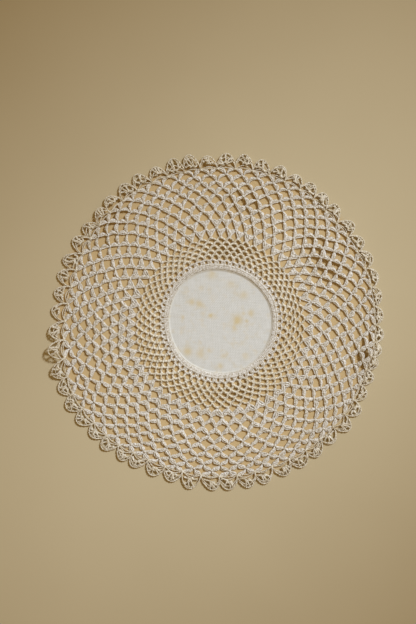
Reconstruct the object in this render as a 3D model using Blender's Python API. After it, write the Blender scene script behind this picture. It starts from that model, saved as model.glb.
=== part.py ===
"""Lace doily: a hemmed linen centre inside a crocheted net with a scalloped edging, lying flat.

The crochet is laid out on a net of cells. A place on it is (cell, round_no): cell counts the
meshes of one round, and round_no counts the rounds outwards from the eyelets. One table of
radii, a row for each direction, pulls that even net into the doily's slightly drawn outline,
and one table of lifts raises the places where the net doesn't lie down on the table.
"""

import math
from collections import namedtuple

import bmesh
import bpy
import numpy as np

MM = 0.001

# Cloth and thread.
LINEN_THICK = 1.0 * MM
HEM_THICK = 1.6 * MM
HEM_WIDTH = 3.2 * MM
LOOP_THICK = 1.2 * MM
CLUSTER_THICK = 2.0 * MM
EDGING_THICK = 1.4 * MM
GAP = 0.3 * MM

# The net's cells and rounds. Rounds between these are in even steps of one.
CELLS = 56
LINEN_ROUND = -1.0
EYELET_ROUND = 0.0
FIRST_CLUSTER_ROUND = 6.0
LAST_CLUSTER_ROUND = 15.0
TIP_ROUND = 16.0
FIRST_CELL_ANGLE = 2.0

# Where one band of crochet ends and the next starts.
CLUSTERS_START = 5.6
EDGING_START = 15.0

# The net is cut at twice its pitch: one opening stands for two cells by two rounds.
COARSE = 2
EDGE_POINTS = 112

# One row for each direction. The radii are in mm from the linen's centre and the turns in
# degrees: how far the stitches at the eyelets, at the first clusters and at the edging are
# drawn round from even.
Draw = namedtuple(
    "Draw", "angle linen eyelets clusters middle edging tips turn_in turn_mid turn_out"
)
DRAWS = [
    Draw(0.0, 51.4, 58.7, 87.2, 128.4, 157.7, 167.9, -0.9, 4.7, -2.3),
    Draw(22.5, 51.1, 59.3, 85.7, 127.5, 157.4, 167.9, 1.2, 5.6, -0.2),
    Draw(45.0, 50.5, 57.7, 87.2, 130.0, 157.1, 169.5, 2.8, 3.2, 0.6),
    Draw(67.5, 51.2, 58.5, 87.9, 130.3, 160.3, 172.6, 1.4, 3.8, 0.3),
    Draw(90.0, 53.0, 60.6, 90.2, 131.3, 159.9, 174.5, 1.3, 2.2, -0.2),
    Draw(112.5, 55.8, 64.3, 90.5, 132.0, 160.9, 176.8, 1.5, 2.5, -1.0),
    Draw(135.0, 57.4, 64.9, 90.5, 133.4, 163.5, 177.1, 0.8, 2.0, -1.2),
    Draw(157.5, 56.7, 64.1, 90.3, 130.7, 162.1, 179.1, 1.2, 2.8, -1.9),
    Draw(180.0, 56.4, 62.7, 92.0, 132.0, 163.6, 180.5, -0.1, 2.4, -2.6),
    Draw(202.5, 56.4, 62.7, 93.8, 138.5, 170.8, 187.0, -2.8, -0.4, -2.4),
    Draw(225.0, 56.4, 63.9, 93.2, 135.9, 167.3, 183.0, -5.2, -3.1, -2.4),
    Draw(247.5, 55.0, 62.3, 89.9, 132.2, 161.2, 176.6, -6.4, -2.6, -3.9),
    Draw(270.0, 54.3, 61.5, 90.0, 131.2, 159.8, 175.3, -7.1, -2.1, -3.5),
    Draw(292.5, 53.9, 60.6, 89.3, 128.9, 158.1, 173.9, -6.3, -0.7, -2.6),
    Draw(315.0, 52.6, 60.5, 89.0, 130.0, 158.3, 173.5, -6.6, 0.8, -1.1),
    Draw(337.5, 51.8, 59.3, 87.1, 126.3, 156.0, 168.7, -4.3, 1.6, 0.7),
]

# The low folds and cockles of the net, in degrees and mm: where each is highest, how high it
# stands off the table, and its half-lengths along the rounds and across them.
Lift = namedtuple("Lift", "angle radius height along across")
LIFTS = [
    Lift(31.0, 125.0, 2.4, 46.0, 24.0),
    Lift(78.0, 128.0, 1.8, 32.0, 18.0),
    Lift(85.0, 77.0, 1.0, 42.0, 18.0),
    Lift(98.0, 172.0, 2.2, 36.0, 20.0),
    Lift(137.0, 162.0, 2.6, 42.0, 26.0),
    Lift(190.5, 183.0, 6.5, 36.0, 28.0),
    Lift(281.0, 75.0, 0.8, 34.0, 16.0),
    Lift(348.0, 156.0, 4.2, 27.0, 19.0),
]

# Openings of each band: how many rows, the round of the first, the step between rows, and the
# half-size of an opening in cells and in rounds. Waist under 1 draws a diamond's sides inwards.
Openings = namedtuple("Openings", "rows first step half_cells half_rounds waist")
LOOP_OPENINGS = Openings(3, 1.15, 1.5, 0.66, 0.46, 1.45)
CLUSTER_OPENINGS = Openings(5, 7.17, 1.62, 0.72, 1.17, 0.86)

# Half of one scallop and half of its opening: cells from its middle, share of its height. The
# last round's arches meet on whole cells, so each scallop's middle is half a cell on.
SCALLOP_MIDDLE = 0.5
SCALLOP_SIDE = [(0.5, 0.09), (0.46, 0.45), (0.37, 0.78), (0.20, 0.96)]
SCALLOP_HOLE = [(0.30, 0.17), (0.26, 0.46)]
SCALLOP_HOLE_TOP = 0.64


def around(column, angle):
    """The table's column at any angle in degrees: a closed smooth curve through its rows."""
    values = [getattr(row, column) for row in DRAWS]
    count = len(values)
    step = 360.0 / count
    row, part = divmod((angle % 360.0) / step, 1.0)
    before, here, after, beyond = (values[(int(row) + i) % count] for i in (-1, 0, 1, 2))
    slope_here = (after - before) / 2
    slope_after = (beyond - here) / 2
    gap = after - here
    return (
        here
        + slope_here * part
        + (3 * gap - 2 * slope_here - slope_after) * part**2
        + (slope_here + slope_after - 2 * gap) * part**3
    )


def radius_at(round_no, angle):
    """Distance of a round from the linen's centre, in metres, in one direction.

    The chain loops are evenly spaced. The cluster rounds follow a parabola through the first,
    the middle and the last of them, and close up towards the edge, because arches of one
    length flatten as the rounds get longer.
    """
    linen = around("linen", angle)
    eyelets = around("eyelets", angle)
    clusters = around("clusters", angle)
    middle = around("middle", angle)
    edging = around("edging", angle)
    tips = around("tips", angle)
    if round_no < EYELET_ROUND:
        radius = linen + (eyelets - linen) * (round_no - LINEN_ROUND)
    elif round_no < FIRST_CLUSTER_ROUND:
        radius = eyelets + (clusters - eyelets) * round_no / FIRST_CLUSTER_ROUND
    elif round_no < LAST_CLUSTER_ROUND:
        part = (round_no - FIRST_CLUSTER_ROUND) / (LAST_CLUSTER_ROUND - FIRST_CLUSTER_ROUND)
        radius = clusters * (1 - part) * (1 - 2 * part)
        radius += middle * 4 * part * (1 - part) + edging * part * (2 * part - 1)
    else:
        radius = edging + (tips - edging) * (round_no - LAST_CLUSTER_ROUND)
    return radius * MM


def place(cell, round_no, outwards=0.0):
    """The point (x, y) of a place on the net, moved outwards by some metres."""
    angle = FIRST_CELL_ANGLE + cell * 360.0 / CELLS
    net = LAST_CLUSTER_ROUND - FIRST_CLUSTER_ROUND
    loops = min(max(round_no / FIRST_CLUSTER_ROUND, 0.0), 1.0)
    outer = min(max((round_no - FIRST_CLUSTER_ROUND) / net, 0.0), 1.0)
    turned = angle + around("turn_in", angle) * (1 - loops)
    turned += around("turn_mid", angle) * (loops - outer) + around("turn_out", angle) * outer
    radius = radius_at(round_no, turned) + outwards
    turned = math.radians(turned)
    return radius * math.cos(turned), radius * math.sin(turned)


def lift_at(x, y):
    """Height of the net's underside over the table: a smooth hump for each row of LIFTS."""
    height = 0.0
    for row in LIFTS:
        along_way = math.radians(row.angle)
        out = (x * math.cos(along_way) + y * math.sin(along_way)) / MM - row.radius
        along = (y * math.cos(along_way) - x * math.sin(along_way)) / MM
        reach = math.hypot(out / row.across, along / row.along)
        if reach < 1:
            height += row.height * MM * math.cos(reach * math.pi / 2) ** 2
    return height


def edge_line(round_no, outwards):
    """A closed line that follows one round, as the edge of a band of crochet."""
    cells = np.arange(EDGE_POINTS) * CELLS / EDGE_POINTS
    return [place(cell, round_no, outwards) for cell in cells]


def openings(spec):
    """Outlines of a band's openings: rows of diamonds or ovals, every second row half a step on."""
    outlines = []
    for row in range(spec.rows):
        middle = spec.first + row * spec.step
        stagger = 0.5 * COARSE * (row % 2)
        for mesh in range(CELLS // COARSE):
            cell = mesh * COARSE + stagger
            outline = []
            for corner in range(8):
                turn = math.radians(corner * 45.0)
                across, along = math.cos(turn), math.sin(turn)
                if corner % 2:
                    shrink = spec.waist * 0.5 / abs(across)
                    across, along = across * shrink, along * shrink
                outline.append(
                    place(cell + across * spec.half_cells, middle + along * spec.half_rounds)
                )
            outlines.append(outline)
    return outlines


def scallop_place(cell, side, height):
    """A point on one scallop: side in cells from its middle, height as a share of its own."""
    start = EDGING_START
    return place(cell + SCALLOP_MIDDLE + side, start + height * (TIP_ROUND - start))


def scallop_outline():
    """The outer edge: a round-topped scallop over each cell, notched down to the net between."""
    points = []
    for cell in range(CELLS):
        points += [scallop_place(cell, -side, height) for side, height in SCALLOP_SIDE]
        points.append(scallop_place(cell, 0.0, 1.0))
        points += [scallop_place(cell, side, height) for side, height in SCALLOP_SIDE[:0:-1]]
    return points


def scallop_holes():
    """One opening in the foot of each scallop, between its straight strands and its fan."""
    outlines = []
    for cell in range(CELLS):
        left = [scallop_place(cell, -side, height) for side, height in SCALLOP_HOLE]
        right = [scallop_place(cell, side, height) for side, height in SCALLOP_HOLE[::-1]]
        outlines.append(left + [scallop_place(cell, 0.0, SCALLOP_HOLE_TOP)] + right)
    return outlines


def material(name, colour, roughness):
    """A plain cloth or thread material."""
    made = bpy.data.materials.new(name)
    made.use_nodes = True
    shader = made.node_tree.nodes["Principled BSDF"]
    shader.inputs["Base Color"].default_value = (*colour, 1.0)
    shader.inputs["Roughness"].default_value = roughness
    shader.inputs["Metallic"].default_value = 0.0
    return made


def flat_sheet(name, outlines, thickness):
    """A sheet cut to the outlines, its underside at z = 0: a filled 2D curve made a mesh."""
    curve = bpy.data.curves.new(name + "_cut", "CURVE")
    curve.dimensions = "2D"
    curve.fill_mode = "BOTH"
    curve.extrude = thickness / 2
    for outline in outlines:
        spline = curve.splines.new("POLY")
        spline.points.add(len(outline) - 1)
        for point, (x, y) in zip(spline.points, outline):
            point.co = (x, y, 0.0, 1.0)
        spline.use_cyclic_u = True
    cut = bpy.data.objects.new(name + "_cut", curve)
    bpy.context.scene.collection.objects.link(cut)
    bpy.context.view_layer.update()
    evaluated = cut.evaluated_get(bpy.context.evaluated_depsgraph_get())
    mesh = bpy.data.meshes.new_from_object(evaluated)
    bpy.data.objects.remove(cut)
    bpy.data.curves.remove(curve)
    mesh.name = name
    work = bmesh.new()
    work.from_mesh(mesh)
    bmesh.ops.remove_doubles(work, verts=work.verts, dist=0.01 * MM)
    bmesh.ops.translate(work, verts=work.verts, vec=(0.0, 0.0, thickness / 2))
    bmesh.ops.recalc_face_normals(work, faces=work.faces)
    level = [face for face in work.faces if abs(face.normal.z) > 0.5]
    inside = {edge for face in level for edge in face.edges}
    inside = [edge for edge in inside if all(abs(face.normal.z) > 0.5 for face in edge.link_faces)]
    bmesh.ops.beautify_fill(work, faces=level, edges=inside)
    work.to_mesh(mesh)
    work.free()
    return mesh


def drape(mesh):
    """Lays the sheet over the low folds: each point rises by the lift under it."""
    for vertex in mesh.vertices:
        vertex.co.z += lift_at(vertex.co.x, vertex.co.y)


def crochet_band(name, outer, inner, holes, thickness, finish):
    """One band of crochet: a ring between two edges with its openings cut through."""
    mesh = flat_sheet(name, [outer, inner] + holes, thickness)
    drape(mesh)
    mesh.materials.append(finish)
    return bpy.data.objects.new(name, mesh)


def linen_centre(finish):
    """The round of linen: one layer of cloth with a narrow rolled hem, thicker than the cloth."""
    work = bmesh.new()
    bmesh.ops.create_circle(work, cap_ends=True, segments=EDGE_POINTS, radius=1.0)
    floor_face = work.faces[:]
    raised = bmesh.ops.extrude_face_region(work, geom=floor_face)["geom"]
    top_verts = [item for item in raised if isinstance(item, bmesh.types.BMVert)]
    top_faces = [item for item in raised if isinstance(item, bmesh.types.BMFace)]
    bmesh.ops.translate(work, verts=top_verts, vec=(0.0, 0.0, HEM_THICK))
    hem_share = HEM_WIDTH / (DRAWS[0].linen * MM)
    bmesh.ops.inset_region(
        work, faces=top_faces, thickness=hem_share, depth=0.0, use_even_offset=True
    )
    bmesh.ops.translate(
        work, verts=top_faces[0].verts[:], vec=(0.0, 0.0, LINEN_THICK - HEM_THICK)
    )
    for vertex in work.verts:
        angle = math.degrees(math.atan2(vertex.co.y, vertex.co.x))
        reach = radius_at(LINEN_ROUND, angle) - GAP
        vertex.co.x *= reach
        vertex.co.y *= reach
    bmesh.ops.recalc_face_normals(work, faces=work.faces)
    mesh = bpy.data.meshes.new("linen_centre")
    work.to_mesh(mesh)
    work.free()
    mesh.materials.append(finish)
    return bpy.data.objects.new("linen_centre", mesh)


def main():
    for old in list(bpy.data.objects):
        bpy.data.objects.remove(old, do_unlink=True)
    doily = bpy.data.collections.new("lace_doily")
    bpy.context.scene.collection.children.link(doily)

    linen = material("bleached_linen", (0.66, 0.64, 0.58), 0.85)
    cream = material("cream_crochet_cotton", (0.70, 0.63, 0.49), 0.9)
    white = material("white_crochet_cotton", (0.65, 0.62, 0.55), 0.9)

    bands = [
        linen_centre(linen),
        crochet_band(
            "loop_net",
            edge_line(CLUSTERS_START, -GAP / 2),
            edge_line(LINEN_ROUND, 0.0),
            openings(LOOP_OPENINGS),
            LOOP_THICK,
            cream,
        ),
        crochet_band(
            "cluster_net",
            edge_line(EDGING_START, -GAP),
            edge_line(CLUSTERS_START, GAP / 2),
            openings(CLUSTER_OPENINGS),
            CLUSTER_THICK,
            white,
        ),
        crochet_band(
            "scallop_edging",
            scallop_outline(),
            edge_line(EDGING_START, 0.0),
            scallop_holes(),
            EDGING_THICK,
            cream,
        ),
    ]
    for band in bands:
        doily.objects.link(band)


main()
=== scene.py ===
"""Dresses a lace doily: linen centre, chain loops, thread clusters and a scalloped edging.

The crochet is laid out on a net of cells. A place on it is (cell, round): cell counts the
meshes of one round and round counts the rounds outwards from the eyelets. Every strand of
thread is a profile carried along a path between places on that net, computed as whole arrays.
"""

import logging
import math
from dataclasses import dataclass, field
from enum import Enum
from typing import NamedTuple

import bpy
import numpy as np
from bpy.types import ID, Material, NodeSocket, NodeTree, Object
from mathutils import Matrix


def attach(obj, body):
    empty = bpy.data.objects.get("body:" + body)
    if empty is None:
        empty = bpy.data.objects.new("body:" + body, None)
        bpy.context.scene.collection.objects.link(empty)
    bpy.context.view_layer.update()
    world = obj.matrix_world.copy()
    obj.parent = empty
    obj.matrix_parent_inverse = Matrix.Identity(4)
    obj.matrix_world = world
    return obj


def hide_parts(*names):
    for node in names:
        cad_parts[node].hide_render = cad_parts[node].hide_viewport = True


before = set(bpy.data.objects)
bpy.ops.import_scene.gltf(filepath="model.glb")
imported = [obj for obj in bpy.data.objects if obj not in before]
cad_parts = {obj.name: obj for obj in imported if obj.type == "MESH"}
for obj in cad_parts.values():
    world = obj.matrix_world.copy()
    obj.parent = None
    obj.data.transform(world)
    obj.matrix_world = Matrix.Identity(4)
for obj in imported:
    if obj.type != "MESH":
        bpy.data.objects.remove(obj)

MM = 0.001
SEED = 56
BODY = "root"

Array = np.ndarray
Inputs = dict[str | int, object]
log = logging.getLogger("doily")
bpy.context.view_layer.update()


class Node(Enum):
    """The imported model's nodes."""

    LINEN = "linen_centre"
    LOOPS = "loop_net"
    CLUSTERS = "cluster_net"
    EDGING = "scallop_edging"


class Slot(Enum):
    """The record's material slots."""

    LINEN = "linen"
    WHITE = "white_thread"
    CREAM = "cream_thread"


class Draw(NamedTuple):
    """The doily's size in one direction: radii in mm, and in degrees how far stitches turn."""

    linen: float
    eyelets: float
    clusters: float
    middle: float
    edging: float
    tips: float
    turn_in: float
    turn_mid: float
    turn_out: float


class Lift(NamedTuple):
    """A low fold of the net, in degrees and mm."""

    angle: float
    radius: float
    height: float
    along: float
    across: float


class Spot(NamedTuple):
    """An age spot on the linen: its middle and radius in mm, and its depth of colour."""

    x: float
    y: float
    radius: float
    depth: float


# One row for each 22.5 degrees, counted from +X towards +Y.
DRAWS = (
    Draw(51.4, 58.7, 85.0, 126.0, 158.0, 167.9, -2.5, 4.0, -3.5),
    Draw(51.1, 59.3, 83.0, 124.0, 157.0, 167.9, 0.0, 5.0, -1.0),
    Draw(50.5, 57.7, 83.5, 125.0, 156.0, 169.5, 1.5, 3.0, 0.5),
    Draw(51.2, 58.5, 84.5, 125.0, 159.0, 172.6, 0.5, 4.0, 0.0),
    Draw(53.0, 60.6, 87.0, 127.0, 158.5, 174.5, 1.0, 2.5, 0.0),
    Draw(55.8, 64.3, 87.5, 127.5, 159.5, 176.8, 1.5, 3.5, -0.5),
    Draw(57.4, 64.9, 87.5, 129.5, 162.5, 177.1, 2.0, 2.5, -1.0),
    Draw(56.7, 64.1, 88.0, 128.0, 161.5, 179.1, 2.5, 3.5, -1.5),
    Draw(56.4, 62.7, 90.5, 130.0, 163.5, 180.5, 0.5, 3.5, -2.0),
    Draw(56.4, 62.7, 93.0, 137.0, 172.0, 187.0, -2.5, 0.5, -1.5),
    Draw(56.4, 63.9, 93.0, 135.0, 169.0, 183.0, -4.5, -3.0, -2.5),
    Draw(55.0, 62.3, 90.5, 132.0, 163.0, 176.6, -5.5, -2.5, -4.5),
    Draw(54.3, 61.5, 90.0, 131.0, 161.0, 175.3, -7.0, -2.5, -3.5),
    Draw(53.9, 60.6, 89.0, 129.0, 159.0, 173.9, -6.5, -1.0, -2.5),
    Draw(52.6, 60.5, 87.5, 128.5, 159.0, 173.5, -7.5, 0.0, -1.0),
    Draw(51.8, 59.3, 85.5, 124.0, 156.5, 168.7, -5.5, 0.0, -1.0),
)

LIFTS = (
    Lift(31.0, 125.0, 2.4, 46.0, 24.0),
    Lift(78.0, 128.0, 1.8, 32.0, 18.0),
    Lift(85.0, 77.0, 1.0, 42.0, 18.0),
    Lift(98.0, 172.0, 2.2, 36.0, 20.0),
    Lift(137.0, 162.0, 2.6, 42.0, 26.0),
    Lift(190.5, 183.0, 5.4, 36.0, 28.0),
    Lift(281.0, 75.0, 0.8, 34.0, 16.0),
    Lift(348.0, 156.0, 4.2, 27.0, 19.0),
)

SPOTS = (
    Spot(-11.7, 48.0, 4.5, 0.6),
    Spot(-32.4, 19.8, 3.5, 0.8),
    Spot(-25.2, 18.0, 3.6, 0.7),
    Spot(-20.7, 7.7, 2.6, 0.4),
    Spot(-12.7, 5.4, 2.3, 1.0),
    Spot(-41.8, 4.2, 1.8, 0.7),
    Spot(15.4, 1.4, 5.4, 0.9),
    Spot(21.3, 7.7, 2.3, 0.6),
    Spot(29.0, 8.1, 3.4, 0.7),
    Spot(24.5, 0.0, 1.9, 0.8),
    Spot(21.5, 27.0, 4.2, 0.6),
    Spot(8.0, 38.0, 4.6, 0.4),
    Spot(-22.5, 34.1, 2.8, 0.4),
    Spot(-36.8, -31.5, 4.6, 0.9),
    Spot(-23.4, -34.0, 4.6, 0.6),
    Spot(-14.5, -30.5, 2.3, 0.6),
    Spot(0.4, -36.3, 2.8, 0.5),
    Spot(-2.8, -46.6, 3.0, 0.6),
    Spot(24.1, -37.1, 3.6, 0.4),
    Spot(11.5, -6.7, 3.0, 0.5),
)


@dataclass
class Plan:
    """The doily's plan: where each place on the net lies, and how high it stands.

    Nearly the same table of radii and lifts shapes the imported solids, so a strand placed here
    lies on its solid or within a few millimetres of it.
    """

    cells: int = 56
    linen_round: float = -1.0
    first_cluster: float = 6.0
    last_cluster: float = 15.0
    first_angle: float = 2.0
    wander_inner: float = 0.30 * MM
    wander_outer: float = 0.62 * MM
    wander: Array = field(init=False, repr=False)

    def __post_init__(self) -> None:
        """Draws the small wandering of every stitch: seeded noise, smoothed along each round."""
        rounds = int(self.last_cluster) + 2
        noise = seeded(0).normal(size=(rounds, self.cells, 2))
        near = (np.roll(noise, 1, axis=1) + np.roll(noise, -1, axis=1)) / 2
        share = np.linspace(0.0, 1.0, rounds)[:, None, None]
        size = self.wander_inner + (self.wander_outer - self.wander_inner) * share
        self.wander = (noise + near) / 1.5 * size

    def around(self, angle: Array, *columns: str) -> Array:
        """Columns of the table at any angle: closed smooth cubics through its rows.

        Args:
            angle: angles in degrees.
            columns: the columns' names in Draw.

        Returns:
            For each column, its value at each angle.
        """
        values = np.array([[getattr(row, column) for column in columns] for row in DRAWS])
        count = len(values)
        turns = np.mod(angle, 360.0) * count / 360.0
        row = np.floor(turns).astype(int)
        part = turns - row
        rows = (np.moveaxis(values[(row + i) % count], -1, 0) for i in (-1, 0, 1, 2))
        before, here, after, beyond = rows
        slope_here, slope_after, gap = (after - before) / 2, (beyond - here) / 2, after - here
        bend = (3 * gap - 2 * slope_here - slope_after) * part**2
        return here + slope_here * part + bend + (slope_here + slope_after - 2 * gap) * part**3

    def radius(self, round_no: Array, angle: Array) -> Array:
        """A round's distance from the linen's centre, in metres.

        Radius rises evenly through the loops and the scallops. Between them it follows a parabola
        through the first, middle and last cluster rounds, as arches flatten in longer rounds.

        Args:
            round_no: places between rounds, -1 at the linen's edge and 16 at the scallop tips.
            angle: angles in degrees.

        Returns:
            The radius at each place.
        """
        linen, eyelets, clusters = self.around(angle, "linen", "eyelets", "clusters")
        middle, edging, tips = self.around(angle, "middle", "edging", "tips")
        part = (round_no - self.first_cluster) / (self.last_cluster - self.first_cluster)
        parabola = clusters * (1 - part) * (1 - 2 * part) + middle * 4 * part * (1 - part)
        stretches = [
            linen + (eyelets - linen) * (round_no - self.linen_round),
            eyelets + (clusters - eyelets) * round_no / self.first_cluster,
            parabola + edging * part * (2 * part - 1),
            edging + (tips - edging) * (round_no - self.last_cluster),
        ]
        ends = (0.0, self.first_cluster, self.last_cluster)
        return np.select([round_no < end for end in ends], stretches[:3], stretches[3]) * MM

    def mean_radius(self, round_no: float) -> float:
        """A round's mean distance from the linen's centre."""
        return float(self.radius(np.full(360, round_no), np.arange(360.0)).mean())

    def place(self, cell: Array, round_no: Array, outwards: float = 0.0) -> Array:
        """Places on the net as points in the table's plane.

        Args:
            cell: positions along the round, in cells.
            round_no: positions across the rounds.
            outwards: metres to move each point out from the centre.

        Returns:
            Points with x and y in the last axis.
        """
        cell, round_no = np.broadcast_arrays(np.asarray(cell, float), np.asarray(round_no, float))
        angle = self.first_angle + cell * 360.0 / self.cells
        net = self.last_cluster - self.first_cluster
        loops = np.clip(round_no / self.first_cluster, 0.0, 1.0)
        outer = np.clip((round_no - self.first_cluster) / net, 0.0, 1.0)
        turn_in, turn_mid, turn_out = self.around(angle, "turn_in", "turn_mid", "turn_out")
        angle = angle + turn_in * (1 - loops) + turn_mid * (loops - outer) + turn_out * outer
        radius = self.radius(round_no, angle) + outwards
        turned = np.radians(angle)
        return np.stack([radius * np.cos(turned), radius * np.sin(turned)], axis=-1)

    def lift(self, flat: Array) -> Array:
        """Height of the net over the table: a hump of squared cosine for each row of LIFTS.

        Args:
            flat: points in the plane.

        Returns:
            The height at each point, in metres.
        """
        height = np.zeros(flat.shape[:-1])
        for row in LIFTS:
            way = math.radians(row.angle)
            out = flat @ np.array([math.cos(way), math.sin(way)]) / MM - row.radius
            along = flat @ np.array([-math.sin(way), math.cos(way)]) / MM
            reach = np.minimum(np.hypot(out / row.across, along / row.along), 1.0)
            height += row.height * MM * np.cos(reach * math.pi / 2) ** 2
        return height

    def laid(self, flat: Array, height: Array | float) -> Array:
        """Points of the plane raised by the lift under them and by a height of their own."""
        return np.concatenate([flat, (self.lift(flat) + height)[..., None]], axis=-1)

    def ring(self, round_no: int) -> Array:
        """The nodes where the arches of one round meet those of the next, one for each cell.

        Odd rounds have their nodes on whole cells and even rounds half a cell on, which makes
        the net of staggered diamonds. Each node wanders a little from its even place.

        Args:
            round_no: the round, 1 to 16.

        Returns:
            Points (cells, 2).
        """
        cell = np.arange(self.cells) + (0.5 if round_no % 2 == 0 else 0.0)
        even = self.place(cell, float(round_no))
        out = unit(even)
        slip = self.wander[round_no]
        return even + out * slip[:, :1] + crosswise(out) * slip[:, 1:]

    def arches(self, round_no: int) -> tuple[Array, Array, Array]:
        """The arches that stand on one round's nodes.

        Args:
            round_no: the round whose nodes are the arches' feet.

        Returns:
            Left feet, right feet and peaks, each (cells, 2).
        """
        feet, peaks = self.ring(round_no), self.ring(round_no + 1)
        first = 1 if round_no % 2 == 0 else 0
        return np.roll(feet, first, axis=0), np.roll(feet, first - 1, axis=0), peaks


def seeded(stream: int) -> np.random.Generator:
    """A stream of random draws that is the same in every run."""
    return np.random.default_rng(SEED + stream)


def unit(vectors: Array) -> Array:
    """The vectors at length one."""
    return vectors / np.maximum(np.linalg.norm(vectors, axis=-1, keepdims=True), 1e-12)


def crosswise(vectors: Array) -> Array:
    """The vectors turned a quarter turn to the left."""
    return np.stack([-vectors[..., 1], vectors[..., 0]], axis=-1)


def linear(colour: str) -> tuple[float, ...]:
    """An sRGB hex colour as the linear RGBA that a shader takes.

    Each channel c under 0.04045 becomes c / 12.92, and any other ((c + 0.055) / 1.055) ** 2.4.
    """
    channels = [int(colour[i : i + 2], 16) / 255 for i in (1, 3, 5)]
    levels = [c / 12.92 if c <= 0.04045 else ((c + 0.055) / 1.055) ** 2.4 for c in channels]
    return (*levels, 1.0)


@dataclass
class Surface:
    """Points and faces of one kind of strand, with what its finish reads.

    uv holds, for each face corner, metres along the thread and the share of a turn round it.
    tone holds, for each point, how pale its thread is, from -1 to 1.
    """

    points: Array
    corners: Array
    sizes: Array
    uv: Array
    tone: Array

    @staticmethod
    def joined(parts: list["Surface"]) -> "Surface":
        """Several surfaces as one, with each one's corners counted on from the last's points."""
        starts = np.cumsum([0] + [len(part.points) for part in parts[:-1]])
        corners = [part.corners + start for part, start in zip(parts, starts)]
        points, sizes, uv, tone = (
            np.concatenate([getattr(part, name) for part in parts])
            for name in ("points", "sizes", "uv", "tone")
        )
        return Surface(points, np.concatenate(corners), sizes, uv, tone)


def axes_along(paths: Array) -> tuple[Array, Array]:
    """The directions that a profile is carried on: to each path's side and up from it.

    side is the path's direction crossed with straight up, and rise is side crossed with it.

    Args:
        paths: points (strands, stations, 3), never running straight up.

    Returns:
        Unit vectors side and rise, each of the paths' shape.
    """
    along = unit(np.gradient(paths, axis=1))
    side = unit(np.cross(along, np.array([0.0, 0.0, 1.0])))
    return side, np.cross(side, along)


def sweep(paths: Array, radius: Array | float, sides: int, tone: Array | float = 0.0) -> Surface:
    """Round strands of thread: a circle of few sides carried along each path.

    A point at turn t of station i is path[i] + radius[i] * (cos t * side + sin t * rise). Each
    end is closed by one face.

    Args:
        paths: points (strands, stations, 3).
        radius: thread radius in metres, one number, or one for each strand or station.
        sides: corners of the circle.
        tone: paleness, one number or one for each strand.

    Returns:
        The strands as one surface.
    """
    count, stations = paths.shape[:2]
    side, rise = axes_along(paths)
    reach = np.broadcast_to(np.asarray(radius, float), (count, stations))[..., None, None]
    turn = (np.arange(sides) * 2 * math.pi / sides)[:, None]
    ring = side[:, :, None, :] * np.cos(turn) + rise[:, :, None, :] * np.sin(turn)
    points = paths[:, :, None, :] + reach * ring
    index = np.arange(count * stations * sides).reshape(count, stations, sides)
    here, onward = index[:, :-1], index[:, 1:]
    beside = [np.roll(onward, -1, axis=2), np.roll(here, -1, axis=2)]
    quads = np.stack([here, onward, *beside], axis=-1)
    caps = np.concatenate([index[:, 0, :], index[:, -1, ::-1]])
    run = np.linalg.norm(np.diff(paths, axis=1), axis=-1).cumsum(axis=1)
    run = np.concatenate([np.zeros((count, 1)), run], axis=1)
    low, high = np.arange(sides) / sides, (np.arange(sides) + 1) / sides
    start, end, low, high = np.broadcast_arrays(run[:, :-1, None], run[:, 1:, None], low, high)
    u = np.stack([start, end, end, start], axis=-1)
    v = np.stack([low, low, high, high], axis=-1)
    flat_uv = np.stack([u, v], axis=-1).reshape(-1, 2)
    shade = np.broadcast_to(np.asarray(tone, float), (count,))
    return Surface(
        points.reshape(-1, 3),
        np.concatenate([quads.ravel(), caps.ravel()]),
        np.concatenate([np.full(quads[..., 0].size, 4), np.full(len(caps), sides)]),
        np.concatenate([flat_uv, np.zeros((caps.size, 2))]),
        np.repeat(shade, stations * sides),
    )


def twisted(paths: Array, reach: float, turns: float) -> Array:
    """The paths of a cord's two plies, wound round each other along each path.

    Each runs at reach from the path, at the angle 2 pi * turns * share, where share goes from 0
    to 1 along the path, and the second half a turn on.

    Args:
        paths: points (strands, stations, 3).
        reach: distance of a ply's middle from the cord's middle.
        turns: turns along each path.

    Returns:
        Ply paths (strands * 2, stations, 3).
    """
    side, rise = axes_along(paths)
    share = np.linspace(0.0, 1.0, paths.shape[1])[None, :]
    wound = []
    for half_turn in (0.0, 0.5):
        angle = 2 * math.pi * (share * turns + half_turn)[..., None]
        wound.append(paths + reach * (side * np.cos(angle) + rise * np.sin(angle)))
    return np.concatenate(wound)


def new_object(name: str, data: ID) -> Object:
    """A new object at the origin, linked to the scene."""
    made = bpy.data.objects.new(name, data)
    bpy.context.scene.collection.objects.link(made)
    return made


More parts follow.
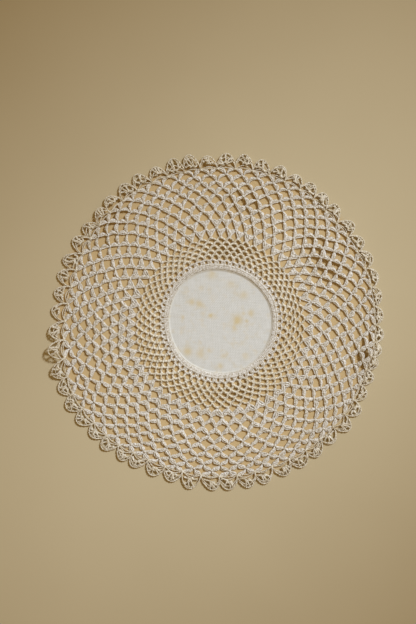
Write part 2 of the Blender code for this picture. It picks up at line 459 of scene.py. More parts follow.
def add_piece(name: str, surface: Surface, material: Material, node: Node) -> Object:
    """Puts a surface into a new smooth object, which rides with the doily, and logs it.

    Args:
        name: the piece's name.
        surface: what it is made of.
        material: its finish.
        node: the solid that it stands for.

    Returns:
        The new piece, with its map of the thread and its tone.
    """
    mesh = bpy.data.meshes.new(name)
    mesh.vertices.add(len(surface.points))
    mesh.vertices.foreach_set("co", surface.points.astype(np.float32).ravel())
    mesh.loops.add(len(surface.corners))
    mesh.loops.foreach_set("vertex_index", surface.corners.astype(np.int32))
    starts = np.concatenate([[0], np.cumsum(surface.sizes)[:-1]])
    mesh.polygons.add(len(surface.sizes))
    mesh.polygons.foreach_set("loop_start", starts.astype(np.int32))
    mesh.polygons.foreach_set("use_smooth", np.ones(len(surface.sizes), bool))
    mesh.update(calc_edges=True)
    thread = mesh.uv_layers.new(name="thread")
    thread.uv.foreach_set("vector", surface.uv.astype(np.float32).ravel())
    tone = mesh.attributes.new("tone", "FLOAT", "POINT")
    tone.data.foreach_set("value", surface.tone.astype(np.float32))
    mesh.materials.append(material)
    piece = new_object(name, mesh)
    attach(piece, BODY)
    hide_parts(node.value)
    triangles = int((surface.sizes - 2).sum())
    log.info("%s: %d triangles for %s", name, triangles, node.value)
    return piece


def feed(tree: NodeTree, node: bpy.types.Node, inputs: Inputs) -> None:
    """Gives a node's inputs, by name or place, their values and links.

    Args:
        tree: the tree that the node is in.
        node: the node.
        inputs: for each input a value, an output socket, or a node for its first output in use.
    """
    for key, value in inputs.items():
        if isinstance(value, bpy.types.Node):
            value = next(output for output in value.outputs if output.enabled)
        if isinstance(value, NodeSocket):
            tree.links.new(value, node.inputs[key])
        else:
            node.inputs[key].default_value = value


def add_node(tree: NodeTree, kind: str, inputs: Inputs, **settings: object) -> bpy.types.Node:
    """Adds one node with its settings, values and links.

    Args:
        tree: the tree that it joins.
        kind: the node's type name, after the ShaderNode that each starts with.
        inputs: what its inputs get, as for feed.
        settings: the node's own properties.

    Returns:
        The new node.
    """
    node = tree.nodes.new("ShaderNode" + kind)
    for name, value in settings.items():
        setattr(node, name, value)
    feed(tree, node, inputs)
    return node


def new_finish(name: str) -> tuple[Material, NodeTree, bpy.types.Node, NodeSocket]:
    """A new material, its node tree, its shader and the object's own coordinates."""
    made = bpy.data.materials.new(name)
    made.use_nodes = True
    tree = made.node_tree
    place = add_node(tree, "TexCoord", {}).outputs["Object"]
    return made, tree, tree.nodes["Principled BSDF"], place


@dataclass(frozen=True)
class ThreadFinish:
    """Mercerised crochet cotton, boiled and softened by use.

    Tightly twisted plies catch the light in short slanting ridges. The surface is matt with a
    faint fuzz, and no two strands are quite the same shade.
    """

    name: str
    pale: str
    deep: str
    roughness: float = 0.82
    fuzz: float = 0.25
    strand_contrast: float = 0.22
    mottle_contrast: float = 3.0
    mottle_offset: float = -1.4
    mottle_size: float = 1.7 * MM
    ply_pitch: float = 2.4 * MM
    ply_height: float = 0.16
    nub_size: float = 1.4 * MM
    nub_height: float = 2.4
    relief_depth: float = 0.62 * MM

    def material(self) -> Material:
        """Builds the finish: two shades mixed by strand and by mottle, with ridges of ply.

        The share of the pale shade is a half plus the strand's tone and the mottle's noise, each
        times its contrast, and the mottle's offset.
        """
        made, tree, shader, place = new_finish(self.name)
        size = {"Vector": place, "Scale": 1 / self.mottle_size, "Detail": 3.0}
        mottle = add_node(tree, "TexNoise", size)
        tone = add_node(tree, "Attribute", {}, attribute_name="tone").outputs["Fac"]
        strand = {0: tone, 1: self.strand_contrast, 2: 0.5}
        spread = add_node(tree, "Math", strand, operation="MULTIPLY_ADD")
        mottled = {0: mottle, 1: self.mottle_contrast, 2: self.mottle_offset}
        cloud = add_node(tree, "Math", mottled, operation="MULTIPLY_ADD")
        share = add_node(tree, "Math", {0: spread, 1: cloud}, operation="ADD", use_clamp=True)
        shades = {"Factor": share, "A": linear(self.deep), "B": linear(self.pale)}
        looks = {
            "Base Color": add_node(tree, "Mix", shades, data_type="RGBA"),
            "Normal": self.relief(tree, place),
            "Roughness": self.roughness,
            "Sheen Weight": self.fuzz,
            "Sheen Roughness": 0.6,
            "Specular IOR Level": 0.25,
        }
        feed(tree, shader, looks)
        return made

    def relief(self, tree: NodeTree, place: NodeSocket) -> bpy.types.Node:
        """The yarn's relief: slanting ridges of ply, broken up by uneven nubs.

        The ridges are a sine of the run along the thread plus one turn round it, and the nubs
        are noise, which stands higher.
        """
        size = {"Vector": place, "Scale": 1 / self.nub_size, "Detail": 2.0}
        nubs = add_node(tree, "TexNoise", size)
        thread = add_node(tree, "UVMap", {}, uv_map="thread")
        parts = add_node(tree, "SeparateXYZ", {0: thread}).outputs
        turns = {0: parts["X"], 1: 1 / self.ply_pitch, 2: parts["Y"]}
        run = add_node(tree, "Math", turns, operation="MULTIPLY_ADD")
        angle = add_node(tree, "Math", {0: run, 1: 2 * math.pi}, operation="MULTIPLY")
        wave = add_node(tree, "Math", {0: angle}, operation="SINE")
        ridges = add_node(tree, "Math", {0: wave, 1: self.ply_height}, operation="MULTIPLY")
        sum_of_both = {0: nubs, 1: self.nub_height, 2: ridges}
        height = add_node(tree, "Math", sum_of_both, operation="MULTIPLY_ADD")
        raised = {"Height": height, "Strength": 0.6, "Distance": self.relief_depth}
        return add_node(tree, "Bump", raised)


@dataclass(frozen=True)
class LinenFinish:
    """Bleached household linen, plain woven and pressed.

    The weave is a fine square grain with a thicker yarn here and there. Age has yellowed it in
    faint clouds, and left pale tan spots with soft edges.
    """

    name: str = "bleached_plain_woven_linen"
    pale: str = "#E5E4DC"
    deep: str = "#D9D8CE"
    spot: str = "#DCCA9E"
    cloud_size: float = 9.0 * MM
    cloud_contrast: float = 1.9
    cloud_offset: float = -0.97
    roughness: float = 0.88
    # Real linen of this kind has about 18 threads to a centimetre, which is too fine to show,
    # so the grain is drawn four times as coarse.
    thread_pitch: float = 2.2 * MM
    weave_depth: float = 0.10 * MM
    # Slubs change every 1 mm or so across the yarn and every 11 mm along it.
    slub_scales: tuple[float, float] = (90.0, 900.0)
    weave_turn: tuple[float, float, float] = (0.0, 0.0, 0.21)

    def material(self) -> Material:
        """Builds the finish: slubs across each other, the spots, and the grain as relief.

        The share of the spots' colour is the piece's tone plus a cloud of noise, its contrast
        times the noise plus its offset and never under nothing.
        """
        made, tree, shader, place = new_finish(self.name)
        warp = self.slubs(tree, place, *self.slub_scales)
        weft = self.slubs(tree, place, *self.slub_scales[::-1])
        slub = add_node(tree, "Math", {0: warp, 1: weft}, operation="ADD")
        share = add_node(tree, "MapRange", {"Value": slub, "From Min": 0.75, "From Max": 1.25})
        shades = {"Factor": share, "A": linear(self.deep), "B": linear(self.pale)}
        ground = add_node(tree, "Mix", shades, data_type="RGBA")
        age = add_node(tree, "Attribute", {}, attribute_name="tone").outputs["Fac"]
        size = {"Vector": place, "Scale": 1 / self.cloud_size, "Detail": 4.0, "Roughness": 0.6}
        noise = add_node(tree, "TexNoise", size)
        cloud = {0: noise, 1: self.cloud_contrast, 2: self.cloud_offset}
        yellowed = add_node(tree, "Math", cloud, operation="MULTIPLY_ADD", use_clamp=True)
        stain = add_node(tree, "Math", {0: yellowed, 1: age}, operation="ADD", use_clamp=True)
        stained = {"Factor": stain, "A": ground, "B": linear(self.spot)}
        woven = {0: slub, 1: 0.8, 2: self.grain(tree, place)}
        height = add_node(tree, "Math", woven, operation="MULTIPLY_ADD")
        raised = {"Height": height, "Strength": 0.6, "Distance": self.weave_depth}
        looks = {
            "Base Color": add_node(tree, "Mix", stained, data_type="RGBA"),
            "Normal": add_node(tree, "Bump", raised),
            "Roughness": self.roughness,
            "Sheen Weight": 0.15,
            "Specular IOR Level": 0.25,
        }
        feed(tree, shader, looks)
        return made

    def slubs(self, tree: NodeTree, place: NodeSocket, *scale: float) -> bpy.types.Node:
        """Thick and thin yarns one way of the cloth: noise drawn out ten times along them."""
        drawn = {"Vector": place, "Rotation": self.weave_turn, "Scale": (*scale, 1.0)}
        turned = add_node(tree, "Mapping", drawn)
        return add_node(tree, "TexNoise", {"Vector": turned, "Scale": 1.0, "Detail": 2.0})

    def grain(self, tree: NodeTree, place: NodeSocket) -> bpy.types.Node:
        """The square grain of a plain weave: the product of a sine across each way."""
        turned = add_node(tree, "Mapping", {"Vector": place, "Rotation": self.weave_turn})
        parts = add_node(tree, "SeparateXYZ", {0: turned}).outputs
        waves = []
        for way in ("X", "Y"):
            run = {0: parts[way], 1: 2 * math.pi / self.thread_pitch}
            angle = add_node(tree, "Math", run, operation="MULTIPLY")
            waves.append(add_node(tree, "Math", {0: angle}, operation="SINE"))
        return add_node(tree, "Math", {0: waves[0], 1: waves[1]}, operation="MULTIPLY")


@dataclass(frozen=True)
class BoardFinish:
    """A matt painted board, rolled on: even, with no grain and the faintest clouding.

    Under the lace the paint is drawn more golden: painted warm shade and bounce light from the
    lace.
    """

    name: str = "matt_painted_board"
    pale: str = "#D5C59F"
    deep: str = "#CFBF99"
    # Painted warm shade: the golden colour given to the board under the lace.
    painted_shade_gold: str = "#D4B987"
    cloud_size: float = 0.12
    painted_shade_middle: tuple[float, float, float] = (-6.5 * MM, 0.0, 0.0)
    painted_shade_from: float = 162.0 * MM
    painted_shade_to: float = 172.0 * MM

    def material(self) -> Material:
        """Builds the finish: two near shades mixed by a wide cloud, and a golden round of painted
        warm shade under the lace.
        """
        made, tree, shader, place = new_finish(self.name)
        cloud = add_node(tree, "TexNoise", {"Vector": place, "Scale": 1 / self.cloud_size})
        shades = {"Factor": cloud, "A": linear(self.deep), "B": linear(self.pale)}
        shade = add_node(tree, "Mix", shades, data_type="RGBA")
        # Painted warm shade: the board turns golden within the lace's round and stays plain beyond
        # it.
        ends = {0: place, 1: self.painted_shade_middle}
        reach = add_node(tree, "VectorMath", ends, operation="DISTANCE")
        bounds = {"Value": reach, "From Min": self.painted_shade_from, "From Max": self.painted_shade_to}
        open_share = add_node(tree, "MapRange", bounds, interpolation_type="SMOOTHSTEP")
        paints = {"Factor": open_share, "A": linear(self.painted_shade_gold), "B": shade}
        paint = add_node(tree, "Mix", paints, data_type="RGBA")
        feed(tree, shader, {"Base Color": paint, "Roughness": 0.9, "Specular IOR Level": 0.2})
        return made


@dataclass
class LinenCentre:
    """The round of linen: one layer of cloth with a narrow hem rolled at its edge."""

    plan: Plan
    thick: float = 0.75 * MM
    roll: float = 0.68 * MM
    lap: float = 0.6 * MM
    # How far the hem is drawn toward the spots' colour.
    rim_tint: float = 0.28
    rim_reach: float = 2.2
    roll_end: float = 138.0
    flat_from: float = 2.6
    underside: float = 0.1 * MM
    around: int = 224
    across: int = 46
    pucker: float = 0.12 * MM
    pucker_at: float = 0.88
    pucker_wide: float = 0.07

    def profile(self) -> tuple[Array, Array]:
        """The cloth's half section: from its middle below, round the roll, to its middle above.

        The roll is a circle that stands on the table: a point at turn t of it lies at
        cos t * roll from its middle and roll + sin t * roll over the underside.

        Returns:
            Distances in from the cloth's edge as shares of its radius or metres of the roll, and
            heights in metres.
        """
        flat = np.linspace(0.0, 1.0, self.across) ** 0.8
        turn = np.radians(np.linspace(-90.0, self.roll_end, 14))
        share = np.concatenate([flat, np.ones(len(turn)), flat[::-1]])
        still = np.zeros(self.across)
        offset = np.concatenate([still - 1.0, np.cos(turn) - 1.0, still - self.flat_from])
        height = np.concatenate([still, (1 + np.sin(turn)) * self.roll, still + self.thick])
        return np.stack([share, offset * self.roll]), height + self.underside

    def surface(self) -> Surface:
        """The cloth as one closed surface: its half section carried round the uneven edge.

        The upper side puckers a little near the roll, as the crochet draws it in.
        """
        (share, offset), height = self.profile()
        angle = np.arange(self.around) * 2 * math.pi / self.around
        edge = self.edge(np.degrees(angle))
        reach = share[:, None] * (edge[None, :] + offset[:, None])
        x, y = reach * np.cos(angle), reach * np.sin(angle)
        above = (np.arange(len(share)) >= len(share) - self.across)[:, None]
        waves = np.sin(28 * angle) * 0.6 + np.sin(11 * angle + 1.0) * 0.4
        near_hem = np.exp(-(((share - self.pucker_at) / self.pucker_wide) ** 2))[:, None]
        z = height[:, None] + above * near_hem * waves[None, :] * self.pucker
        points = np.stack([x, y, z], axis=-1)[1:-1].reshape(-1, 3)
        index = np.arange(len(points)).reshape(-1, self.around)
        beside = np.roll(index, -1, axis=1)
        quads = np.stack([index[:-1], beside[:-1], beside[1:], index[1:]], axis=-1)
        corners = np.concatenate([quads.ravel(), index[0, ::-1], index[-1]])
        sizes = np.concatenate([np.full(quads.size // 4, 4), np.full(2, self.around)])
        return Surface(points, corners, sizes, np.zeros((len(corners), 2)), self.age(points))

    def edge(self, degrees: Array) -> Array:
        """The cloth's radius at each angle: its edge laps a little under the crochet."""
        return self.plan.radius(np.full(len(degrees), self.plan.linen_round), degrees) + self.lap

    def age(self, points: Array) -> Array:
        """Depth of age colour at each point: soft round spots, each a bell of its distance.

        The hem is drawn toward the spots' colour too, by half a bell of the distance in from the
        edge.
        """
        depth = np.zeros(len(points))
        for spot in SPOTS:
            away = np.hypot(points[:, 0] / MM - spot.x, points[:, 1] / MM - spot.y)
            depth = np.maximum(depth, spot.depth * np.exp(-((away / spot.radius) ** 2)))
        edge = self.edge(np.degrees(np.arctan2(points[:, 1], points[:, 0])))
        inwards = (edge - np.hypot(points[:, 0], points[:, 1])) / (self.rim_reach * self.roll)
        return np.maximum(depth, self.rim_tint * np.exp(-(inwards**2)))

    def build(self, material: Material) -> None:
        piece = add_piece("linen_round", self.surface(), material, Node.LINEN)
        width = 2 * self.plan.mean_radius(self.plan.linen_round)


@dataclass
class Knots:
    """The stitches that tie one round to the next: two short strands crossed over each node."""

    half_along: float = 1.6 * MM
    half_across: float = 0.95 * MM
    low: float = 1.0 * MM
    high: float = 2.0 * MM
    thread: float = 0.56 * MM

    def surface(self, plan: Plan, nodes: Array, size: float = 1.0) -> Surface:
        """Both strands at each node, each an arc over it: height is a half sine of its run.

        Args:
            plan: the doily's plan.
            nodes: the nodes (count, 2).
            size: scale of the knot.

        Returns:
            The knots as one surface.
        """
        out = unit(nodes)[:, None, :]
        run = np.linspace(-1.0, 1.0, 5)[None, :, None]
        rise = self.low + (self.high - self.low) * np.sin((run[..., 0] + 1) * math.pi / 2)
        strands = []
        for way in (-1.0, 1.0):
            reach = crosswise(out) * run * self.half_along * way + out * run * self.half_across
            flat = nodes[:, None, :] + reach * size
            strands.append(plan.laid(flat, rise * size))
        return sweep(np.concatenate(strands), self.thread * size, 5)


@dataclass
class LoopRounds:
    """The foundation round over the hem, the eyelets and the rounds of chain loops."""

    plan: Plan
    rounds: int = 5
    posts_per_cell: int = 5
    post: float = 0.76 * MM
    bar: float = 0.86 * MM
    cord_reach: float = 0.54 * MM
    ply: float = 0.76 * MM
    rest: float = 1.05 * MM
    dip: float = 0.3 * MM
    inner_swell: float = 0.26
    step_out: float = 0.35 * MM
    step_in: float = 0.35 * MM
    hem_round: float = -0.34
    hem_height: float = 1.1 * MM
    hem_turns: int = 130
    hem_size: float = 1.1
    tie_half: float = 1.1 * MM
    tie_rise: float = 0.55 * MM
    tie: float = 0.62 * MM

    def foundation(self) -> Surface:
        """Close stitches from the rolled hem to the eyelets: short strands side by side.

        Each strand's height is read from stations between the hem and the eyelets.
        """
        count = self.plan.cells * self.posts_per_cell
        cell = (np.arange(count) / self.posts_per_cell)[:, None]
        share = np.linspace(0.0, 1.0, 6)[None, :]
        inner = self.plan.place(cell, self.plan.linen_round, 0.45 * MM)
        outer = self.plan.place(cell, -0.17, -self.post)
        flat = inner + (outer - inner) * share[..., None]
        rng = seeded(1)
        rise = np.interp(share, [0.0, 0.15, 0.4, 0.7, 1.0], [1.15, 1.32, 1.38, 1.35, 1.25])
        rise = rise * MM + rng.normal(0.0, 0.05 * MM, (count, 1))
        return sweep(self.plan.laid(flat, rise), self.post, 5, rng.normal(0.5, 0.25, count))

    def hem_cord(self) -> Surface:
        """A two-ply cord that runs the whole way round over the close stitches."""
        cell = np.linspace(0.0, self.plan.cells, self.plan.cells * 8 + 1)[:-1]
        path = self.plan.laid(self.plan.place(cell, self.hem_round), self.hem_height)
        # The first two stations come again at the end, so that the cord meets itself.
        path = np.concatenate([path, path[:2]])[None]
        plies = twisted(path, self.cord_reach * self.hem_size, self.hem_turns)
        return sweep(plies, self.ply * self.hem_size, 5, np.array([0.2, -0.1]))

    def eyelet_bars(self) -> Surface:
        """Three strands side by side between each pair of eyelets."""
        cell = (np.arange(self.plan.cells) + 0.5)[:, None]
        across = np.linspace(-0.45, 0.5, 5)[None, :]
        middle = self.plan.place(cell, across)
        along = crosswise(unit(middle))
        lean = np.array([0.25, 0.1, 0.0, -0.1, -0.25])[None, :, None] * MM
        shifts = [side * self.bar * 1.8 + lean for side in (-1, 0, 1)]
        bars = [self.plan.laid(middle + along * shift, self.rest) for shift in shifts]
        tone = seeded(2).normal(0.1, 0.4, self.plan.cells * 3)
        return sweep(np.concatenate(bars), self.bar, 6, tone)

    def swell(self, round_no: int) -> float:
        """How much thicker a round is than the outermost loops: the inner rounds stand fuller."""
        return 1.0 + self.inner_swell * (self.rounds - round_no) / (self.rounds - 1)

    def arcs(self, left: Array, right: Array, peak: Array, size: float, tone: Array) -> Surface:
        """Rounded arches of two-ply cord.

        At c from -1 to 1 along an arch, it stands off its chord by (1 - |c| ** 2.7) of the way
        to its peak. Its feet lie on the round below, and from them it sags by the dip, as
        |c| ** 6 falls from one to nothing.

        Args:
            left: left feet (arches, 2).
            right: right feet.
            peak: peaks.
            size: scale of the cord.
            tone: paleness of each arch.

        Returns:
            The arches as one surface.
        """
        run = np.linspace(-1.0, 1.0, 15)[None, :, None]
        full = 1 - np.abs(run) ** 2.7
        left, right, peak = left[:, None], right[:, None], peak[:, None]
        chord = left + (right - left) * (run + 1) / 2
        flat = chord + (peak - (left + right) / 2) * full
        paths = self.plan.laid(flat, self.rest + self.dip * (np.abs(run[..., 0]) ** 6 - 0.5))
        plies = twisted(paths, self.cord_reach * size, 3.0)
        return sweep(plies, self.ply * size, 5, np.tile(tone, 2))

    def eyelet_arches(self) -> Surface:
        """The low arches that close the eyelets: from bar to bar, out by half a round."""
        cell = np.arange(self.plan.cells)
        left, right = self.plan.place(cell - 0.5, 0.08), self.plan.place(cell + 0.5, 0.08)
        tone = seeded(5).normal(0.1, 0.35, self.plan.cells)
        return self.arcs(left, right, self.plan.place(cell, 0.58), 1.05, tone)

    def loops(self) -> Surface:
        """The rounds of chain loops.

        Their feet start a little outside the round below, and their peaks stay a little inside
        the round above, so the stitch between them fills the node.
        """
        rng = seeded(3)
        surfaces = []
        for round_no in range(1, self.rounds + 1):
            left, right, peak = self.plan.arches(round_no)
            left, right = left + unit(left) * self.step_out, right + unit(right) * self.step_out
            peak = peak - unit(peak) * self.step_in
            tone = rng.normal(0.0, 0.35, len(peak))
            surfaces.append(self.arcs(left, right, peak, self.swell(round_no), tone))
        return Surface.joined(surfaces)

    def stitches(self) -> Surface:
        """The stitch that ties each loop to the one below it: two short strands side by side."""
        rng = seeded(4)
        run = np.linspace(-1.0, 1.0, 5)[None, :, None]
        surfaces = []
        for round_no in range(1, self.rounds + 1):
            nodes = self.plan.ring(round_no)[:, None]
            size = self.swell(round_no)
            out = unit(nodes)
            rise = self.rest + self.tie_rise * (1 - run[..., 0] ** 2)
            for side in (-1.0, 1.0):
                apart = crosswise(out) * side * size * (0.52 + 0.22 * run) * MM
                strand = self.plan.laid(nodes + out * run * self.tie_half + apart, rise)
                tone = rng.normal(0.0, 0.3, len(nodes))
                surfaces.append(sweep(strand, self.tie * size, 5, tone))
        return Surface.joined(surfaces)

    def build(self, cream: Material, white: Material) -> None:
        close, cord = self.foundation(), self.hem_cord()
        hem = Surface.joined([close, cord, self.eyelet_bars(), self.eyelet_arches()])
        stitches = add_piece("hem_and_eyelet_rounds", hem, white, Node.LOOPS)
        loops = add_piece("chain_loop_rounds", self.loops(), cream, Node.LOOPS)
        ties = add_piece("loop_stitches", self.stitches(), cream, Node.LOOPS)
        plan = self.plan
        declare_band(plan, plan.linen_round, plan.first_cluster)


def declare_band(
    plan: Plan, inner: float, outer: float
) -> None:
    """Reads the mean radii of a ring of lace at its inner and outer rounds, and does nothing more
    with them.

    Args:
        plan: the doily's plan.
        inner: the round at its inner edge.
        outer: the round at its outer edge.
    """
    inside, outside = plan.mean_radius(inner), plan.mean_radius(outer)


@dataclass
class ClusterRounds:
    """The rounds of clusters: arches of two leaves, each three stitches gathered at both ends."""

    plan: Plan
    per_piece: int = 3
    strands: int = 3
    stations: int = 10
    apart: float = 0.50 * MM
    spread: float = 1.46 * MM
    spread_top: float = 1.25 * MM
    gathered: float = 0.12 * MM
    thread: float = 0.50 * MM
    swell: float = 0.42 * MM
    lump: float = 0.15
    crown: float = 0.50 * MM
    rest: float = 0.95 * MM
    bow_tight: float = 0.13
    bow_slack: float = 0.21
    belly: float = 0.055
    fuller: float = 0.14
    fuller_until: int = 9
    knots: Knots = field(default_factory=Knots)

    def leaves(self, round_no: int) -> Surface:
        """Both leaves of every arch of a round.

        The feet of neighbour arches stand a little apart, so a narrow slit shows between them.
        At share s of the way from foot to peak, a leaf is bowed out by half a sine wave of s,
        less at -Y, where the net is tight and the bow lies nearer the foot by a whole wave of
        the belly. Its strands lie to each side by a like hump of s, the middle one highest, and
        are thickest where the hump is. So the leaf is flat towards the centre and round
        outwards. One longer than its round's mean is thinner by as much, and the first three
        rounds are fuller.

        Args:
            round_no: the round whose nodes are the arches' feet.

        Returns:
            The round's strands as one surface.
        """
        left, right, peak = self.plan.arches(round_no)
        inset = unit(right - left) * self.apart
        left, right = left + inset, right - inset
        foot, tip = np.concatenate([left, right]), np.concatenate([peak, peak])
        count = len(foot)
        rng = seeded(10 + round_no)
        normal = crosswise(unit(tip - foot))
        normal *= np.sign((normal * unit(foot)).sum(axis=-1, keepdims=True))
        length = np.linalg.norm(tip - foot, axis=-1)[:, None]
        slim = np.clip(length.mean() / length, 0.62, 1.25)
        slack = np.clip(0.65 + 0.65 * unit(foot)[:, 1:], 0.0, 1.0)
        share = np.linspace(0.02, 0.98, self.stations)[None, :]
        hump = np.sin(math.pi * share ** (1.0 + 0.15 * slack + rng.normal(0.0, 0.08, (count, 1))))
        bow = self.bow_tight + (self.bow_slack - self.bow_tight) * slack
        bow = (bow + rng.normal(0.0, 0.03, (count, 1))) * np.sin(math.pi * share)
        bow = (bow + self.belly * (1 - slack) * np.sin(2 * math.pi * share)) * length
        middle = foot[:, None] + (tip - foot)[:, None] * share[..., None]
        middle = middle + normal[:, None] * bow[..., None]
        top = np.clip(unit(foot)[:, 1:], 0.0, 1.0)
        full = 1 + self.fuller * max(0, self.fuller_until - round_no)
        width = full * (self.spread + (self.spread_top - self.spread) * top)
        width = width * slim * rng.normal(1.0, 0.10, (count, 1))
        surfaces = []
        for strand in range(self.strands):
            side = strand - (self.strands - 1) / 2
            reach = side * (self.gathered + (width - self.gathered) * hump**1.25)
            reach = reach + rng.normal(0.0, 0.10 * MM, (count, 1)) * hump
            flat = middle + normal[:, None] * reach[..., None]
            wraps = 1 + self.lump * rng.normal(0.0, 1.0, (count, self.stations))
            radius = (self.thread + self.swell * hump) * wraps * np.sqrt(slim)
            crown = self.crown * (side == 0) + rng.normal(0.0, 0.12 * MM, (count, 1))
            height = self.rest + crown * hump
            # Painted highlight: the middle strand, which stands highest, is drawn paler than the
            # side strands.
            tone = rng.normal(0.2 if side == 0 else 0.05, 0.4, count)
            surfaces.append(sweep(self.plan.laid(flat, height), radius, 6, tone))
        return Surface.joined(surfaces)

    def build(self, material: Material) -> None:
        """Makes the rounds in rings of a few rounds each, every one with the knots it stands on."""
        first, last = int(self.plan.first_cluster), int(self.plan.last_cluster)
        for start in range(first, last, self.per_piece):
            rounds = range(start, min(start + self.per_piece, last))
            nodes = np.concatenate([self.plan.ring(n) for n in rounds])
            name = f"rounds_{rounds[0] - first + 1}_to_{rounds[-1] - first + 1}"
            leaves = Surface.joined([self.leaves(n) for n in rounds])
            ties = self.knots.surface(self.plan, nodes)
            piece = add_piece("cluster_" + name, leaves, material, Node.CLUSTERS)
            knots = add_piece("knots_" + name, ties, material, Node.CLUSTERS)
            declare_band(self.plan, rounds[0], rounds[-1] + 1)


@dataclass
class ScallopEdging:
    """The edging: on each arch a star of stitches over two strands, closed by a round rim."""

    plan: Plan
    posts: int = 5
    post: float = 0.72 * MM
    post_gap: float = 0.46 * MM
    ply: float = 0.54 * MM
    cord_reach: float = 0.36 * MM
    strand: float = 0.50 * MM
    rest: float = 1.50 * MM
    heart: float = 0.38
    fan_wide: float = 0.77
    rim_wide: float = 0.81
    inner_wide: float = 0.72
    stature: float = 0.93
    strand_rises: tuple[float, ...] = (0.10, 0.26)
    knot_size: float = 1.15
    fan_tall: float = 0.95
    knots: Knots = field(default_factory=Knots)

    def frame_of(self) -> tuple[Array, Array, Array]:
        """Each scallop's middle at its foot, its half width and its height, as vectors."""
        left, right, tips = self.plan.arches(int(self.plan.last_cluster))
        foot = (left + right) / 2
        rng = seeded(30)
        stature = rng.normal(self.stature, 0.06, (self.plan.cells, 1))
        slant = rng.normal(0.0, 0.12, (self.plan.cells, 1))
        half = (right - left) / 2
        return foot, half, (tips - foot) * stature + half * slant

    def drawn(self, across: Array, up: Array, height: Array | float) -> Array:
        """Paths in the scallops' own measure: across from -1 to 1 and up from 0 to 1.

        Args:
            across: places across each scallop (cells or 1, stations).
            up: places up each scallop, of the same shape.
            height: metres over the table.

        Returns:
            Paths (cells, stations, 3).
        """
        foot, half, tall = (vector[:, None] for vector in self.frame_of())
        return self.plan.laid(foot + half * across[..., None] + tall * up[..., None], height)

    def strands(self, rise: float) -> Surface:
        """A straight strand: from node to node, bowed up by 1 - |c| ** 1.5 of its rise."""
        run = np.linspace(-1.0, 1.0, 11)[None, :]
        rng = seeded(32 + int(rise * 100))
        up = rise * rng.normal(1.0, 0.25, (self.plan.cells, 1)) * (1 - np.abs(run) ** 1.5)
        paths = self.drawn(run, up, self.rest + 0.3 * MM * np.abs(run) ** 4)
        return sweep(paths, self.strand, 6)

    def rim_path(self, wide: Array, top: Array, height: float, stations: int) -> Array:
        """The round way over the fan from node to node.

        Across is a cosine of the share run, up a power of its sine.

        Args:
            wide: its greatest half width, in half widths of the scallop (cells or 1, 1).
            top: its height, in scallop heights, of the same shape.
            height: metres over the table.
            stations: how many points the path has.

        Returns:
            Paths (cells, stations, 3).
        """
        share = np.linspace(0.0, 1.0, stations)[None, :]
        swing = np.cos(math.pi * share)
        across = -swing * (wide + (1 - wide) * np.abs(swing) ** 8)
        return self.drawn(across, np.sin(math.pi * share) ** 0.62 * top, height)

    def rim(self) -> Surface:
        """The rim: a two-ply cord round every fan."""
        wide, top = np.array([[self.rim_wide]]), np.array([[1.0]])
        paths = self.rim_path(wide, top, self.rest, 23)
        return sweep(twisted(paths, self.cord_reach, 5.0), self.ply, 5)

    def inner_rim(self) -> Surface:
        """A single thin strand inside the rim, at an uneven distance from it."""
        size = seeded(33).normal(self.inner_wide, 0.09, (self.plan.cells, 1))
        paths = self.rim_path(size, size + 0.04, self.rest + 0.6 * MM, 21)
        return sweep(paths, self.strand * 1.1, 5)

    def fan(self) -> Surface:
        """The fan: uneven stitches that spread from a thick heart over the strands to the rim.

        A stitch swings off its straight line by a sine of its run, and it thins outwards by
        (1 - s) squared of its share s.
        """
        rng = seeded(31)
        count = self.plan.cells
        share = np.linspace(0.0, 1.0, 8)[None, :]
        heart_across = rng.normal(0.0, 0.10, (count, 1))
        heart_up = rng.normal(self.heart, 0.06, (count, 1))
        surfaces = []
        for post in range(self.posts):
            place = math.pi * (post + 0.5) / self.posts
            turn = np.clip(place + rng.normal(0.0, 0.20, (count, 1)), 0.15, math.pi - 0.15)
            end_across = -np.cos(turn) * self.fan_wide
            end_up = np.sin(turn) ** 0.62 * self.fan_tall
            swing = rng.normal(0.0, 0.09, (count, 1)) * np.sin(math.pi * share)
            start = heart_across - math.cos(place) * 0.16
            across = start + (end_across - start) * share + swing
            up = heart_up + (end_up - heart_up) * share + swing * math.cos(place)
            height = self.rest + 0.6 * MM * (1 - share)
            thick = self.post * rng.normal(1.0, 0.14, (count, 1)) * (0.95 + 0.65 * (1 - share) ** 2)
            tone = np.tile(rng.normal(0.1, 0.45, count), 2)
            pairs = twisted(self.drawn(across, up, height), self.post_gap, 0.5)
            surfaces.append(sweep(pairs, np.tile(thick, (2, 1)), 5, tone))
        return Surface.joined(surfaces)

    def build(self, material: Material) -> None:
        last = int(self.plan.last_cluster)
        fans = Surface.joined([self.fan(), self.rim()])
        knots = self.knots.surface(self.plan, self.plan.ring(last), self.knot_size)
        straight = [self.strands(rise) for rise in self.strand_rises]
        ties = Surface.joined([*straight, self.inner_rim(), knots])
        scallops = add_piece("scallop_fans", fans, material, Node.EDGING)
        strands = add_piece("scallop_strands", ties, material, Node.EDGING)
        declare_band(self.plan, last, last + 1)


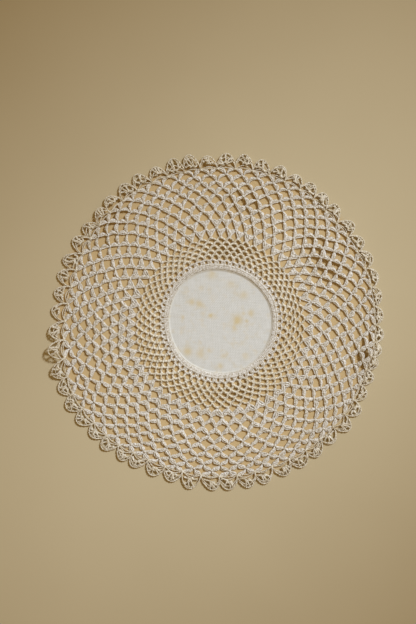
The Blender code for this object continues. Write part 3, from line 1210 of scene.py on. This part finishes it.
@dataclass
class Studio:
    """The table, a soft light from the upper right, and a camera straight above."""

    view_height: float = 1.3
    frame_long: float = 0.649
    sensor: float = 36.0
    middle: tuple[float, float] = (-0.0156, 0.0094)
    table_half: float = 2.0
    table_gap: float = 0.05 * MM
    lamp_radius: float = 0.33
    lamp_watts: float = 515.0
    lamp_colour: tuple[float, float, float] = (0.755, 0.845, 1.0)
    lamp_cone: float = 16.5
    lamp_azimuth: float = 44.0
    lamp_elevation: float = 41.0
    lamp_away: float = 3.0
    lamp_aim: tuple[float, float, float] = (0.001, -0.038, 0.0)
    fill_colour: tuple[float, float, float, float] = (1.0, 0.70, 0.32, 1.0)
    fill_strength: float = 0.292

    def table(self) -> None:
        """Sets up the plain table top, just under the doily."""
        corner = self.table_half
        mesh = bpy.data.meshes.new("table_top")
        points = [(-corner, -corner), (corner, -corner), (corner, corner), (-corner, corner)]
        mesh.from_pydata([(x, y, -self.table_gap) for x, y in points], [], [(0, 1, 2, 3)])
        mesh.materials.append(BoardFinish().material())
        top = new_object("table_top", mesh)

    def camera(self) -> None:
        """Sets up the camera: its lens is sensor times height over the long side of the view."""
        data = bpy.data.cameras.new("camera")
        data.sensor_width = self.sensor
        data.lens = self.sensor * self.view_height / self.frame_long
        camera = new_object("camera", data)
        camera.location = (*self.middle, self.view_height)
        bpy.context.scene.camera = camera

    def lamp(self) -> None:
        """Sets up a soft round lamp to the upper right, for short shadows to the lower left."""
        data = bpy.data.lights.new("key", "SPOT")
        data.shadow_soft_size = self.lamp_radius
        data.energy = self.lamp_watts
        data.color = self.lamp_colour
        data.spot_size = math.radians(self.lamp_cone)
        data.spot_blend = 1.0
        lamp = new_object("key", data)
        azimuth, elevation = math.radians(self.lamp_azimuth), math.radians(self.lamp_elevation)
        level = math.cos(elevation)
        way = np.array([level * math.cos(azimuth), level * math.sin(azimuth), math.sin(elevation)])
        lamp.location = np.array(self.lamp_aim) + way * self.lamp_away
        lamp.rotation_euler = (math.radians(90.0) - elevation, 0.0, azimuth + math.radians(90.0))

    def fill(self) -> None:
        """Sets up even warm light from all round, which fills the shadows."""
        world = bpy.data.worlds.new("room")
        world.use_nodes = True
        light = {"Color": self.fill_colour, "Strength": self.fill_strength}
        feed(world.node_tree, world.node_tree.nodes["Background"], light)
        bpy.context.scene.world = world

    def build(self) -> None:
        """Sets up the table, the camera and the light."""
        self.table()
        self.camera()
        self.lamp()
        self.fill()
        bpy.context.scene.view_settings.view_transform = "Standard"
        log.info("studio: camera %.2f m above the table", self.view_height)


def main() -> None:
    """Builds the doily piece by piece, then the studio round it."""
    logging.basicConfig(level=logging.INFO, format="%(message)s")
    plan = Plan()
    linen = LinenFinish().material()
    cream = ThreadFinish("cream_crochet_cotton", pale="#F6EEDA", deep="#C4B188").material()
    white = ThreadFinish("white_crochet_cotton", pale="#F6F1E6", deep="#BFB090").material()
    LinenCentre(plan).build(linen)
    LoopRounds(plan).build(cream, white)
    ClusterRounds(plan).build(white)
    ScallopEdging(plan).build(cream)
    Studio().build()


if __name__ == "__main__":
    main()
